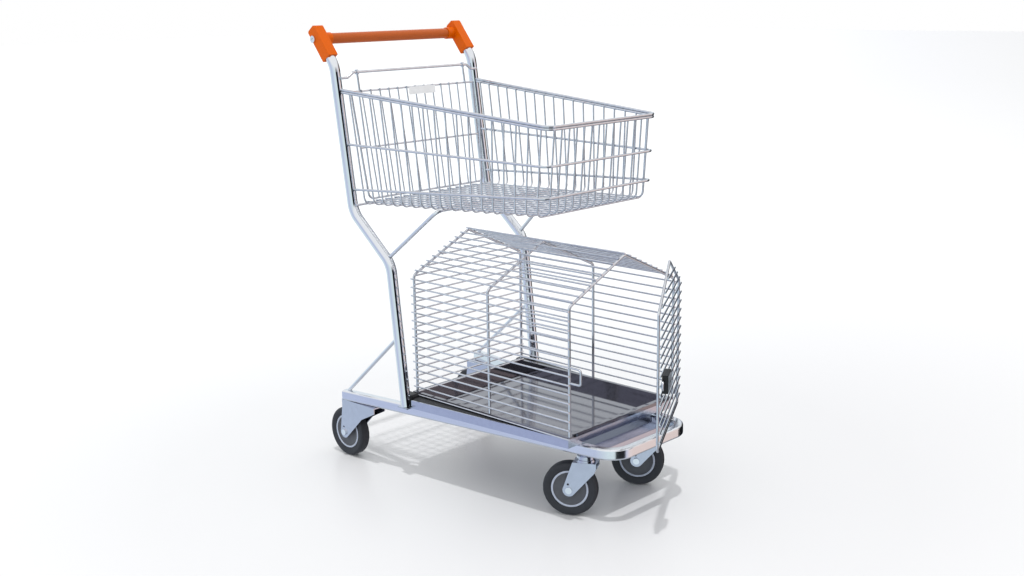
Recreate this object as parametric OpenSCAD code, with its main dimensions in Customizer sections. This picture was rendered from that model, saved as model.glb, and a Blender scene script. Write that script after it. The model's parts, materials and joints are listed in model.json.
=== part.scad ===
// Shop trolley with a wire basket on two bent uprights and a caged lower deck
// with a hinged door. Millimetres. +X is the front (door end), +Z is up, and the
// floor is at Z = 0. The origin is the bottom centre of the whole cart.

/* [Wheels] */
// Diameter of every wheel over its tyre
wheel_d = 125; // [100:1:150]
// Width of a tyre
tyre_w = 28; // [22:1:30]
// Diameter of the hub, which the tyre sits on
hub_d = 86; // [70:1:95]
// Width of a hub's boss between the fork plates
boss_w = 31.4; // [31:0.1:31.8]
// Diameter of a hub's boss
boss_d = 30; // [24:1:40]
// Diameter of the axle bolts
axle_d = 8; // [6:1:12]
// Space between the two plates of a fork
fork_gap = 32; // [32:1:40]
// Thickness of the fork plates and bridges
fork_t = 3; // [2:0.5:4]
// Height of the swivel race under a front caster's plate
race_h = 6; // [4:0.5:8]
// Diameter of the swivel race
race_d = 44; // [36:1:56]
// Diameter of the kingpins
kingpin_d = 12; // [8:1:16]
// Distance that a front wheel trails behind its kingpin
trail = 35; // [30:1:40]
// Angle that the front forks are turned to at rest
fork_turn = 28; // [0:1:45]
// Running clearance on a radius
run_gap = 0.05; // [0.02:0.01:0.1]
// Clearance between faces that slide past each other
face_gap = 0.2; // [0.1:0.1:0.5]

/* [Base] */
// Height of the rails' undersides above the tops of the wheels
rail_rise = 25; // [20:1:45]
// Height of the rail tube
rail_h = 25; // [20:1:30]
// Width of the rail tube
rail_w = 22; // [18:1:26]
// Wall of the rail tube
rail_wall = 2; // [1.5:0.5:3]
// Corner radius of the rail tube's section
rail_corner = 5; // [3:0.5:7]
// Half of the spread of the rails at their rear ends
rail_rear_y = 234.7; // [225:0.1:240]
// Half of the spread of the rails where they would meet the bow
rail_front_y = 126.5; // [115:0.1:140]
// Distance along X from the rails' rear ends to the bow
rail_length = 791; // [740:1:840]
// Bend radius of the bow's corners
bow_bend = 50; // [40:1:60]
// Thickness of the sheet and flat steel pieces
sheet_t = 3; // [2:0.5:4]
// Outer height of a tray bearer's upright flange
bearer_h = 20; // [15:1:25]
// Width of a tray bearer's flat flange
bearer_w = 45; // [40:1:55]
// Half of the spread of the bearers at their rear ends
bearer_rear_y = 225; // [222:0.5:230]
// Half of the spread of the bearers at their front ends
bearer_front_y = 184.5; // [184:0.5:200]

/* [Uprights] */
// Diameter of the upright tubes
upright_d = 25; // [22:0.5:28]
// Wall of the upright tubes
upright_wall = 1.5; // [1:0.25:2.5]
// Half of the spread of the uprights
upright_y = 228; // [226:0.5:232]
// Bend radius of the uprights
upright_bend = 60; // [40:1:70]
// Diameter of the round struts
strut_d = 9; // [6:0.5:12]
// Diameter of the rod under the basket
support_d = 9; // [6:0.5:12]

/* [Handle] */
// Height of the handle bar's axis
handle_z = 1042.4; // [1030:0.1:1060]
// Outer diameter of the handle grip
grip_d = 26; // [24:0.5:30]
// Diameter of the handle's steel core
core_d = 20; // [16:0.5:22]
// Diameter of the bolts that hold the handle bar
handle_bolt_d = 8; // [6:0.5:10]
// Thickness of a handle bracket
bracket_w = 27.4; // [27:0.1:30]
// Width of a bracket's arm, seen from the side
bracket_arm_w = 30; // [29:0.5:34]

/* [Basket] */
// Diameter of the basket's band wires
band_d = 6; // [5:0.25:7]
// Diameter of the basket's mesh wires
mesh_d = 4; // [3:0.25:5]
// Number of mesh wires along each side
side_wires = 18; // [12:1:22]
// Number of mesh wires across the front
front_wires = 14; // [10:1:16]
// Length of the basket along its rim
rim_length = 615; // [560:1:640]
// Length of the basket along its floor
floor_length = 559; // [520:1:590]
// Height of the rim's rear end
rim_rear_z = 918.5; // [900:0.5:925]
// Height of the rim's front end
rim_front_z = 863.7; // [840:0.1:900]
// Height of the floor's rear end
floor_rear_z = 653; // [640:1:665]
// Height of the floor's front end
floor_front_z = 675; // [655:1:690]
// Half of the basket's width at its rear end
basket_rear_y = 225; // [222:0.5:226]
// Half of the basket's width at its front end
basket_front_y = 184; // [175:0.5:200]
// Bend radius of the mesh wires at the floor
mesh_bend = 16; // [10:1:25]
// Bend radius of the band wires at the front corners
band_bend = 22; // [14:1:30]

/* [Flap] */
// Height of the flap's hinge bar
hinge_bar_z = 964; // [955:0.5:975]
// Diameter of the hinge bar
hinge_bar_d = 6.5; // [5:0.25:8]
// Half of the flap's width at its top
flap_top_y = 204.6; // [195:0.1:206]
// Half of the flap's width at its bottom
flap_bottom_y = 193; // [180:0.5:194]
// Diameter of the flap's frame wires
flap_d = 5; // [4:0.25:5.5]
// Number of upright wires in the flap
flap_wires_n = 13; // [9:1:16]
// Width of the blank label plate
label_w = 88; // [60:1:100]
// Height of the blank label plate
label_h = 19; // [15:0.5:25]

/* [Cage] */
// Length of the cage between its end arches
cage_length = 490.3; // [440:0.1:520]
// Half of the cage's width between its posts' axes
cage_y = 184; // [180:0.5:186]
// Height of the cage's eaves
eave_z = 493; // [450:1:520]
// Height of the cage's ridge
ridge_z = 577; // [530:1:600]
// Diameter of the arch wires
arch_d = 6.5; // [5:0.25:8]
// Diameter of the cage's mesh wires
cage_mesh_d = 4; // [3:0.25:5]
// Number of wires in each side of the cage
cage_side_n = 15; // [10:1:16]
// Number of wires in each slope of the roof, without the ridge wire
cage_roof_n = 9; // [6:1:10]

/* [Door] */
// Angle that the door stands open at rest
door_open = 29.6; // [0:0.1:90]
// Width of the door
door_w = 354; // [330:1:360]
// Diameter of the door's frame wire
door_frame_d = 6; // [5:0.25:7]
// Diameter of the door's hinge pins
hinge_pin_d = 5; // [4:0.25:6]
// Height of the latch's middle
latch_z = 342.5; // [300:0.5:400]

/* [Tray] */
// Thickness of the tray's sheet
tray_t = 1.5; // [1:0.25:2]
// Half of the tray pan's width
tray_y = 179; // [170:0.5:179]
// Height of the tray's rim above the bearers' flat flanges
tray_rim = 24.6; // [20:0.1:30]

/* [Hidden] */
$fn = 48;

// Depth that crossing wires are pressed into each other by a spot weld
weld = 0.3;
// How much fuller a bend's section is than its straights, and how far they lap
bend_swell = 0.1;
bend_lap = 1;
right = -1;
left = 1;

// Rails: a straight line in plan from the rear end to the bow
rail_rear_x = -365;
bow_x = rail_rear_x + rail_length;
rail_slope = (rail_rear_y - rail_front_y) / rail_length;
rail_z = wheel_d + rail_rise;
rail_top = rail_z + rail_h;
function rail_y(x) = rail_rear_y - rail_slope * (x - rail_rear_x);

// Bearers: steel angles on the rails, from the uprights' feet to the cage's front
foot_x = -140;
cage_rear_x = -146.5;
bearer_rear_x = foot_x + 15;
bearer_front_x = cage_rear_x + cage_length - 3.8;
bearer_slope = (bearer_rear_y - bearer_front_y) / (bearer_front_x - bearer_rear_x);
deck_z = rail_top + sheet_t;
function bearer_y(x) = bearer_rear_y - bearer_slope * (x - bearer_rear_x);

// Uprights: points of one tube's centre line in its own plane, as [x, z]
low_bend = [-177, 522];
high_bend = [-307, 634];
neck_bend = [-355.9, 981];
function between(a, b, t) = a + (b - a) * t;
function upright_x(z) = z < low_bend[1]
    ? between(foot_x, low_bend[0], (z - deck_z) / (low_bend[1] - deck_z))
    : between(high_bend[0], neck_bend[0],
        (z - high_bend[1]) / (neck_bend[1] - high_bend[1]));
function upright_front(z) = upright_x(z) + upright_d / 2;

// Handle: the bar's axis, and the brackets' leaning arms
handle_x = -413.7;
arm_foot = [handle_x + 44.5, handle_z - 44.4];
arm_lean = 38;
arm_dir = [-sin(arm_lean), cos(arm_lean)];
arm_across = [cos(arm_lean), sin(arm_lean)];
arm_length = 88.4;
arm_round = 6;
socket_depth = 25;
socket_gap = 0.05;
upright_top = arm_foot + arm_dir * socket_depth;
bracket_boss = 22;
bracket_inner_y = upright_y - bracket_w / 2;
bolt_head_d = 17;
bolt_head_h = 4;

// Basket: the centre surface of its mesh wires' planes
rim_rear_x = -331;
floor_rear_x = -290;
band_gap = (band_d + mesh_d) / 2 - weld;
rim_front_x = rim_rear_x + rim_length;
floor_front_x = floor_rear_x + floor_length;
basket_slope = (basket_rear_y - basket_front_y) / rim_length;
support_wire = 7;
middle_rear_z = 795.6;
middle_front_z = 785.5;
low_rear_z = 688;
low_front_z = 717;
function basket_y(x) = basket_rear_y - band_gap - basket_slope * (x - rim_rear_x);
function floor_z(x) = between(floor_rear_z, floor_front_z,
    (x - floor_rear_x) / floor_length);
function front_x(z) = between(floor_front_x, rim_front_x,
    (z - floor_front_z) / (rim_front_z - floor_front_z));

// Flap: hangs from the hinge bar, leaning forward, as [x, z]
hinge_bar_drop = 12;
hinge_bar_x = upright_front(hinge_bar_z - hinge_bar_drop) + hinge_bar_d / 2 - weld;
flap_eye_gap = 0.25;
flap_bottom = [-288, floor_rear_z + 10.5];
flap_lean = atan2(flap_bottom[0] - hinge_bar_x, hinge_bar_z - flap_bottom[1]);
flap_length = norm([flap_bottom[0] - hinge_bar_x, hinge_bar_z - flap_bottom[1]]);
flap_top_wire = 45;
flap_middle_wire = 181;
flap_mesh_d = 3.5;
flap_eye_t = 6;
hinge_bar_flat = 188;
hinge_bar_end = 206;
label_y = 20;
label_t = 1.5;

// Cage
cage_front_x = cage_rear_x + cage_length;
cage_middle_x = cage_rear_x + cage_length / 2 + 1.35;
post_foot = deck_z + tray_rim;
eave_bend = 12;
eave_drop = 9;
side_pitch = (eave_z - eave_drop - post_foot + 5) / (cage_side_n - 1);
function side_z(i) = eave_z - eave_drop - i * side_pitch;
roof_length = norm([cage_y, ridge_z - eave_z]);
roof_angle = atan2(ridge_z - eave_z, cage_y);
roof_pitch = roof_length / (cage_roof_n + 0.6);
rear_step = 7.2;
wire_gap = (arch_d + cage_mesh_d) / 2 - weld;
strike_reach = 29;
strike_h = 35;
strike_d = 5;

// Door: drawn closed with its hinge axis on Z, then turned about that axis
hinge_x = cage_front_x + 12.2;
hinge_y = cage_y;
eye_low_z = 222;
eye_high_z = 467;
eye_h = 10;
eye_wall = 2.5;
door_bottom_z = post_foot - 6.6;
door_eave_z = eave_z - 4;
door_offset = 3;
door_edge = 6;
door_stub = 3;
door_pitch = 20.6;
latch_bolt_d = 5;
latch_bolt_w = 16;
latch_case = [52, 13, 40];
latch_inset = 14;
bolt_gap = 0.25;
case_x = door_offset + door_frame_d / 2 + cage_mesh_d - weld;
bolt_x = case_x + 3.5;
bolt_tip = door_w + 1;

// Tray
tray_rear_x = cage_rear_x - 3.5;
tray_front_x = cage_front_x - 17.8;
hem_w = 7.5;
hem_t = 3;
lip_h = 6;
post_hole_gap = 0.4;

// Casters
wheel_r = wheel_d / 2;
rear_axle_x = -367.5;
rear_wheel_y = 221;
kingpin_x = bow_x - 90;
kingpin_y = rail_y(kingpin_x) - 17.81;
plate_rear_x = bow_x - 118;
trough_rear_x = bow_x - 78;
trough_front_x = bow_x - 41;
plate_top = rail_z + 15;
fork_outer = fork_gap / 2 + fork_t;
bridge_z = plate_top - sheet_t - 27 - race_h - fork_t;
collar_d = 26;
pin_head_d = 20;
pin_head_h = 4;
nut_d = 13;
nut_h = 5;
vent_d = 5;
vent_rise = 14;

// The outermost points along X: a bracket's round end and the open door's edge
arm_rear_corner = arm_foot + arm_dir * (arm_length - arm_round)
    - arm_across * (bracket_arm_w / 2 - arm_round);
rear_reach = arm_rear_corner[0] - arm_round;
front_reach = hinge_x + bolt_tip * sin(door_open) + bolt_x * cos(door_open)
    + latch_bolt_d / 2 + bend_swell;
mid_x = (rear_reach + front_reach) / 2;

// Puts a piece drawn from the axes of the frame at the cart's own origin
module placed() {
    translate([-mid_x, 0, 0]) children();
}

// Copies a piece at both sides of the cart
module both_sides() {
    children();
    mirror([0, 1, 0]) children();
}

// Straight round wire from a to b
module rod(a, b, d) {
    v = b - a;
    translate(a)
        rotate([0, acos(v[2] / norm(v)), atan2(v[1], v[0])])
            cylinder(h = norm(v), d = d);
}

function unit(v) = v / norm(v);
function turn_at(p, i) = acos(unit(p[i] - p[i - 1]) * unit(p[i + 1] - p[i]));
function cut_at(p, i, bend) = (i == 0 || i == len(p) - 1) ? 0
    : bend * tan(turn_at(p, i) / 2);

// Places its children's +Y along a and their +X away from the centre of a bend
// that turns from direction a to direction b
module bend_frame(corner, a, b, bend, cut) {
    inward = unit(b - a * (a * b));
    centre = corner - a * cut + inward * bend;
    x = -inward;
    z = cross(x, a);
    multmatrix([
        [x[0], a[0], z[0], centre[0]],
        [x[1], a[1], z[1], centre[1]],
        [x[2], a[2], z[2], centre[2]],
        [0, 0, 0, 1]]) children();
}

// Round tube or wire that follows the points of p, bent at each inner point. A
// bend's section is a hair fuller than its straights', which reach into it.
module bent_tube(p, d, bend, bore = 0) {
    last = len(p) - 1;
    for (i = [0:last - 1]) {
        dir = unit(p[i + 1] - p[i]);
        a = p[i] + dir * max(0, cut_at(p, i, bend) - bend_lap);
        b = p[i + 1] - dir * max(0, cut_at(p, i + 1, bend) - bend_lap);
        translate(a)
            rotate([0, acos(dir[2]), atan2(dir[1], dir[0])])
                linear_extrude(norm(b - a)) ring(d, bore);
    }
    for (i = [1:1:last - 1])
        bend_frame(p[i], unit(p[i] - p[i - 1]), unit(p[i + 1] - p[i]), bend,
            cut_at(p, i, bend))
            rotate_extrude(angle = turn_at(p, i))
                translate([bend, 0]) ring(d + 2 * bend_swell,
                    bore > 0 ? bore - 2 * bend_swell : 0);
}

module ring(d, bore) {
    difference() {
        circle(d = d);
        if (bore > 0) circle(d = bore);
    }
}

// Corner-rounded rectangle as a plain outline
function arc_points(c, r, from, steps) =
    [for (i = [0:steps]) c + r * [cos(from + 90 * i / steps), sin(from + 90 * i / steps)]];
function rounded(w, h, r) = concat(
    arc_points([w / 2 - r, h / 2 - r], r, 0, 5),
    arc_points([r - w / 2, h / 2 - r], r, 90, 5),
    arc_points([r - w / 2, r - h / 2], r, 180, 5),
    arc_points([w / 2 - r, r - h / 2], r, 270, 5));

module rail_section(swell = 0) {
    core_w = rail_w - 2 * rail_wall;
    core_h = rail_h - 2 * rail_wall;
    difference() {
        polygon(rounded(rail_w + 2 * swell, rail_h + 2 * swell, rail_corner));
        polygon(rounded(core_w - 2 * swell, core_h - 2 * swell, rail_corner - rail_wall));
    }
}

// One U-shaped tube: two straight rails, two bends and a straight bow
module base_frame() {
    p = [[rail_rear_x, -rail_rear_y], [bow_x, -rail_front_y],
        [bow_x, rail_front_y], [rail_rear_x, rail_rear_y]];
    color("lightsteelblue") placed() translate([0, 0, rail_z + rail_h / 2]) {
        for (i = [0:2]) {
            dir = unit(p[i + 1] - p[i]);
            a = p[i] + dir * max(0, cut_at(p, i, bow_bend) - bend_lap);
            b = p[i + 1] - dir * max(0, cut_at(p, i + 1, bow_bend) - bend_lap);
            translate([a[0], a[1], 0])
                rotate([90, 0, 90 + atan2(dir[1], dir[0])])
                    linear_extrude(norm(b - a)) rail_section();
        }
        for (i = [1:2]) {
            a = unit(p[i] - p[i - 1]);
            b = unit(p[i + 1] - p[i]);
            bend_frame([p[i][0], p[i][1], 0], [a[0], a[1], 0], [b[0], b[1], 0],
                bow_bend, cut_at(p, i, bow_bend))
                rotate_extrude(angle = turn_at(p, i))
                    translate([bow_bend, 0]) rail_section(bend_swell);
        }
    }
}

// Plate across the bow that carries the front casters, with a trough in front
module front_cross_plate() {
    reach = rail_rear_y;
    inset = rail_w / 2 - weld;
    color("gainsboro") placed() difference() {
        intersection() {
            rotate([90, 0, 0]) translate([0, 0, -reach]) linear_extrude(2 * reach)
                polygon([
                    [plate_rear_x, plate_top], [trough_rear_x, plate_top],
                    [trough_rear_x, rail_z + sheet_t],
                    [trough_front_x - sheet_t, rail_z + sheet_t],
                    [trough_front_x - sheet_t, plate_top], [trough_front_x, plate_top],
                    [trough_front_x, rail_z], [trough_rear_x - sheet_t, rail_z],
                    [trough_rear_x - sheet_t, plate_top - sheet_t],
                    [plate_rear_x, plate_top - sheet_t]]);
            linear_extrude(rail_top) polygon([
                [0, rail_y(0) - inset], [bow_x, rail_y(bow_x) - inset],
                [bow_x, inset - rail_y(bow_x)], [0, inset - rail_y(0)]]);
        }
        both_sides() translate([kingpin_x, kingpin_y, rail_z])
            cylinder(h = rail_h, d = kingpin_d);
    }
}

// Two steel angles with a pad under each upright's foot
module tray_bearers() {
    pad_x = upright_d / 2 + 5;
    color("lightsteelblue") placed() both_sides() {
        translate([0, 0, rail_top]) linear_extrude(sheet_t) {
            polygon([
                [bearer_rear_x, bearer_y(bearer_rear_x)],
                [bearer_front_x, bearer_y(bearer_front_x)],
                [bearer_front_x, bearer_y(bearer_front_x) - bearer_w],
                [bearer_rear_x, bearer_y(bearer_rear_x) - bearer_w]]);
            polygon([
                [foot_x - pad_x, upright_y + upright_d / 2],
                [bearer_rear_x, upright_y + upright_d / 2],
                [bearer_rear_x, bearer_y(bearer_rear_x) - bearer_w],
                [foot_x - pad_x, bearer_y(bearer_rear_x) - bearer_w]]);
        }
        translate([0, 0, deck_z]) linear_extrude(bearer_h - sheet_t) polygon([
            [bearer_rear_x, bearer_y(bearer_rear_x)],
            [bearer_front_x, bearer_y(bearer_front_x)],
            [bearer_front_x, bearer_y(bearer_front_x) - sheet_t],
            [bearer_rear_x, bearer_y(bearer_rear_x) - sheet_t]]);
    }
}

// Square bar between the bearers' front ends, under the tray's front edge
module front_cross_member() {
    h = tray_rim - hem_t;
    half = bearer_y(bearer_front_x) - sheet_t;
    color("mistyrose") placed()
        translate([tray_front_x + tray_t, -half, deck_z])
            cube([bearer_front_x - tray_front_x - tray_t, 2 * half, h]);
}

// Round rods from the rails up to the uprights
module rear_struts() {
    top_z = 339;
    color("silver") placed() both_sides()
        rod([-354, rail_y(-354) - 4, rail_top - weld],
            [upright_x(top_z) - upright_d / 2 + 1, upright_y, top_z], strut_d);
}

module upright(side) {
    p = [[foot_x, deck_z], low_bend, high_bend, neck_bend, upright_top];
    color("azure") placed()
        bent_tube([for (q = p) [q[0], side * upright_y, q[1]]], upright_d,
            upright_bend, upright_d - 2 * upright_wall);
}

module right_upright() {
    upright(right);
}

module left_upright() {
    upright(left);
}

// Rod bent into a U that rises from the uprights' bends and crosses under the floor
module basket_support_rod() {
    cross_x = floor_rear_x + floor_length * (support_wire + 0.95) / side_wires;
    cross_z = floor_z(cross_x) + long_rise - (mesh_d + support_d) / 2 + weld;
    cross_y = 197;
    start = [-179.5, upright_y - 2, 541];
    color("silver") placed() bent_tube([
        [start[0], -start[1], start[2]], [cross_x, -cross_y, cross_z],
        [cross_x, cross_y, cross_z], start], support_d, 20);
}

// Steel tube inside the grip, held by a bolt through each bracket
module handle_core() {
    half = bracket_inner_y;
    color("silver") placed() translate([handle_x, 0, handle_z]) rotate([90, 0, 0])
        translate([0, 0, -half]) linear_extrude(2 * half) ring(core_d, handle_bolt_d);
}

module handle_grip() {
    half = bracket_inner_y - bracket_boss;
    color("darkorange") placed() translate([handle_x, 0, handle_z]) rotate([90, 0, 0])
        translate([0, 0, -half]) linear_extrude(2 * half) ring(grip_d, core_d);
}

// Moulded bracket: an arm with a socket for the upright, and a boss for the bar
module handle_bracket(side) {
    half = bracket_arm_w / 2;
    color("darkorange") placed() mirror([0, side == right ? 1 : 0, 0])
        translate([0, upright_y, 0]) difference() {
            union() {
                rotate([90, 0, 0]) translate([0, 0, -bracket_w / 2])
                    linear_extrude(bracket_w) hull() {
                        for (across = [arm_round - half, half - arm_round])
                            translate(arm_foot + arm_dir * (arm_length - arm_round)
                                + arm_across * across) circle(r = arm_round);
                        for (across = [1 - half, half - 1])
                            translate(arm_foot + arm_dir + arm_across * across)
                                circle(r = 1, $fn = 24);
                    }
                translate([handle_x, -bracket_w / 2, handle_z]) rotate([90, 0, 0])
                    cylinder(h = bracket_boss, d = grip_d + 4);
            }
            translate([arm_foot[0], 0, arm_foot[1]]) rotate([0, -arm_lean, 0])
                translate([0, 0, -5]) cylinder(h = socket_depth + 5,
                    d = upright_d + 2 * socket_gap);
            translate([handle_x, bracket_w, handle_z]) rotate([90, 0, 0])
                cylinder(h = 2 * bracket_w, d = handle_bolt_d);
            translate([handle_x, -bracket_w / 2, handle_z]) rotate([90, 0, 0])
                cylinder(h = bracket_boss + 1, d = core_d);
        }
}

module right_handle_bracket() {
    handle_bracket(right);
}

module left_handle_bracket() {
    handle_bracket(left);
}

// Round-headed bolts with hexagon sockets, through the brackets into the core
module bracket_bolts() {
    outer_y = upright_y + bracket_w / 2;
    socket_d = 8;
    color("silver") placed() both_sides() translate([handle_x, outer_y, handle_z])
        rotate([90, 0, 0]) difference() {
            union() {
                translate([0, 0, -bolt_head_h]) cylinder(h = bolt_head_h, d = bolt_head_d);
                cylinder(h = bracket_w + 25, d = handle_bolt_d);
            }
            translate([0, 0, -bolt_head_h - 1])
                cylinder(h = bolt_head_h, d = socket_d, $fn = 6);
        }
}

// Wire round the basket's two sides and front, at a height given at both ends
module band(rear_z, front_z) {
    rear_x = upright_front(rear_z) - weld;
    end_x = front_x(front_z) + band_gap;
    function band_y(x) = basket_y(x) + band_gap;
    color("lightsteelblue") placed() bent_tube([
        [rear_x, -band_y(rear_x), rear_z], [end_x, -band_y(end_x), front_z],
        [end_x, band_y(end_x), front_z], [rear_x, band_y(rear_x), rear_z]],
        band_d, band_bend);
}

// Two band wires, one on top of the other
module basket_rim_wires() {
    band(rim_rear_z, rim_front_z);
    band(rim_rear_z + band_d, rim_front_z + band_d);
}

module basket_middle_band() {
    band(middle_rear_z, middle_front_z);
}

module basket_low_band() {
    band(low_rear_z, low_front_z);
}

// Wires down one side, each bent in under the floor
module basket_side(side) {
    color("silver") placed() for (i = [0:side_wires - 1]) {
        t = (i + 0.45) / side_wires;
        x_top = rim_rear_x + rim_length * t;
        x_low = floor_rear_x + floor_length * t;
        z_top = between(rim_rear_z, rim_front_z, t);
        y_top = side * basket_y(x_top);
        y_low = side * basket_y(x_low);
        bent_tube([[x_top, y_top, z_top], [x_low, y_low, floor_z(x_low)],
            [x_low, y_low - side * (mesh_bend + 2), floor_z(x_low)]], mesh_d, mesh_bend);
    }
}

module basket_right_wires() {
    basket_side(right);
}

module basket_left_wires() {
    basket_side(left);
}

module basket_floor_cross_wires() {
    color("silver") placed() for (i = [0:side_wires - 1]) {
        x = floor_rear_x + floor_length * (i + 0.45) / side_wires;
        half = basket_y(x) - mesh_bend - 2;
        rod([x, -half, floor_z(x)], [x, half, floor_z(x)], mesh_d);
    }
}

long_rise = mesh_d - weld;
rear_rod_x = upright_front(floor_rear_z) + band_d / 2 - weld;
function front_y(i, x) = (basket_y(x) - mesh_bend)
    * (2 * i / (front_wires - 1) - 1) * 0.98;

// Wires down the front, each bent in over the floor's cross wires
module basket_front_wires() {
    color("silver") placed() for (i = [0:front_wires - 1]) {
        z_low = floor_z(floor_front_x) + long_rise;
        y_top = front_y(i, rim_front_x);
        y_low = front_y(i, floor_front_x);
        x_in = floor_front_x - mesh_bend - 4;
        bent_tube([[rim_front_x, y_top, rim_front_z], [floor_front_x, y_low, z_low],
            [x_in, y_low, floor_z(x_in) + long_rise]], mesh_d, mesh_bend);
    }
}

module basket_floor_long_wires() {
    x_in = floor_front_x - mesh_bend - 4;
    color("silver") placed() for (i = [0:front_wires - 1]) {
        y = front_y(i, floor_front_x);
        fan = basket_y(rear_rod_x) / basket_y(floor_front_x);
        rod([rear_rod_x - band_d / 2, y * fan, floor_z(rear_rod_x) + long_rise],
            [x_in, y, floor_z(x_in) + long_rise], mesh_d);
    }
}

// Rod across the rear edge of the floor, between the uprights
module basket_rear_rod() {
    z = floor_rear_z + long_rise - (band_d + mesh_d) / 2 + weld;
    half = upright_y + 3;
    color("silver") placed() rod([rear_rod_x, -half, z], [rear_rod_x, half, z], band_d);
}

// Bar that the flap hangs on, cranked down to the uprights at both ends
module flap_hinge_bar() {
    low = hinge_bar_z - hinge_bar_drop;
    end_x = hinge_bar_x;
    color("silver") placed() bent_tube([
        [end_x, -upright_y + 2, low], [hinge_bar_x, -hinge_bar_end, low],
        [hinge_bar_x, -hinge_bar_flat, hinge_bar_z], [hinge_bar_x, hinge_bar_flat, hinge_bar_z],
        [hinge_bar_x, hinge_bar_end, low], [end_x, upright_y - 2, low]], hinge_bar_d, 8);
}

// Draws in the flap's plane: Y across, Z down from the hinge bar's axis
module on_flap() {
    placed() translate([hinge_bar_x, 0, hinge_bar_z]) rotate([0, 180 - flap_lean, 0])
        children();
}

function flap_y(z) = between(flap_top_y, flap_bottom_y, z / flap_length);
flap_eye_y = 176;

// Outer wires, three cross wires and the two eyes that turn on the hinge bar
module flap_frame() {
    eye_d = hinge_bar_d + 2 * flap_eye_gap;
    cross_d = flap_d - 0.2;
    color("silver") on_flap() {
        bent_tube([
            [0, -flap_y(flap_top_wire), flap_top_wire],
            [0, -flap_y(flap_length), flap_length],
            [0, flap_y(flap_length), flap_length],
            [0, flap_y(flap_top_wire), flap_top_wire]], flap_d, 14);
        for (z = [flap_top_wire + 1, flap_middle_wire])
            rod([0, -flap_y(z), z], [0, flap_y(z), z], cross_d);
        both_sides() difference() {
            union() {
                translate([0, flap_eye_y + flap_eye_t / 2, 0]) rotate([90, 0, 0])
                    cylinder(h = flap_eye_t, d = eye_d + 2 * eye_wall);
                rod([0, flap_eye_y, eye_d / 2 + 1], [0, flap_eye_y, flap_top_wire], flap_d);
            }
            translate([0, flap_eye_y + flap_eye_t, 0]) rotate([90, 0, 0])
                cylinder(h = 2 * flap_eye_t, d = eye_d);
        }
    }
}

// Upright wires of the flap, on the front of its cross wires
module flap_wires() {
    x = (flap_d + flap_mesh_d) / 2 - weld;
    color("silver") on_flap() for (i = [1:flap_wires_n]) {
        t = 2 * i / (flap_wires_n + 1) - 1;
        rod([-x, t * flap_y(flap_top_wire), flap_top_wire - 2],
            [-x, t * flap_y(flap_length), flap_length + 0.5], flap_mesh_d);
    }
}

// Blank plate fixed to the front of the flap's upright wires
module label_plate() {
    color("white") on_flap()
        translate([2 * weld - flap_d / 2 - flap_mesh_d - label_t,
            label_y - label_w / 2, flap_top_wire + 1])
            cube([label_t, label_w, label_h]);
}

// Portal of bent wire: two posts, two eaves and a ridge
module arch(x, foot) {
    color("silver") placed() bent_tube([
        [x, -cage_y, foot], [x, -cage_y, eave_z], [x, 0, ridge_z],
        [x, cage_y, eave_z], [x, cage_y, foot]], arch_d, eave_bend);
}

module cage_rear_arch() {
    arch(cage_rear_x, post_foot);
}

module cage_middle_arch() {
    arch(cage_middle_x, deck_z);
}

module cage_front_arch() {
    arch(cage_front_x, post_foot);
}

// Level wires along one side, on the outside of the rear and middle posts
module cage_side(side) {
    y = side * (cage_y + wire_gap);
    color("silver") placed() for (i = [0:cage_side_n - 1])
        rod([cage_rear_x - arch_d / 2 - 2.5, y, side_z(i)],
            [cage_front_x + arch_d / 2, y, side_z(i)], cage_mesh_d);
}

module cage_right_wires() {
    cage_side(right);
}

module cage_left_wires() {
    cage_side(left);
}

// Level wires along both slopes of the roof, and one along the ridge
module cage_roof_wires() {
    over = wire_gap;
    color("silver") placed() {
        both_sides() for (i = [1:cage_roof_n]) {
            along = (i - 0.4) * roof_pitch;
            y = cage_y - along * cos(roof_angle) + over * sin(roof_angle);
            z = eave_z + along * sin(roof_angle) + over * cos(roof_angle);
            rod([cage_rear_x - arch_d / 2 - 2.5, y, z],
                [cage_front_x + arch_d / 2, y, z], cage_mesh_d);
        }
        ridge = ridge_z + over - (1 / cos(roof_angle) - 1) * eave_bend;
        rod([cage_rear_x - arch_d / 2 - 2.5, 0, ridge],
            [cage_front_x + arch_d / 2, 0, ridge], cage_mesh_d);
    }
}

// Level wires across the rear arch, inside its posts' planes
module cage_rear_wires() {
    x = cage_rear_x + wire_gap;
    gable = [2.5, 21, 41, 61];
    color("silver") placed() {
        for (i = [0:cage_side_n - 2]) {
            z = side_z(i + 1) + rear_step;
            rod([x, -cage_y - 2, z], [x, cage_y + 2, z], cage_mesh_d);
        }
        for (rise = gable) {
            half = (cage_y + 2) * (1 - rise / (ridge_z - eave_z));
            rod([x, -half, eave_z + rise - 3], [x, half, eave_z + rise - 3], cage_mesh_d);
        }
    }
}

// U-shaped wire on the right front post that the latch bolt enters
module strike_loop() {
    x = cage_front_x + arch_d / 2 - weld;
    low = latch_z - strike_h / 2;
    high = latch_z + strike_h / 2;
    color("silver") placed() bent_tube([
        [x, -cage_y, high], [x + strike_reach, -cage_y, high],
        [x + strike_reach, -cage_y, low], [x, -cage_y, low]], strike_d, 6);
}

// Upright pins on short arms from the left front post
module door_hinge_pins() {
    post_x = cage_front_x + arch_d / 2 - weld;
    below = 4;
    above = 3;
    color("silver") placed() for (z = [eye_low_z, eye_high_z]) {
        translate([hinge_x, hinge_y, z - eye_h / 2 - below])
            cylinder(h = eye_h + below + above, d = hinge_pin_d);
        rod([post_x, hinge_y, z - eye_h / 2 - below + 1.5],
            [hinge_x, hinge_y, z - eye_h / 2 - below + 1.5], 3);
    }
}

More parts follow.
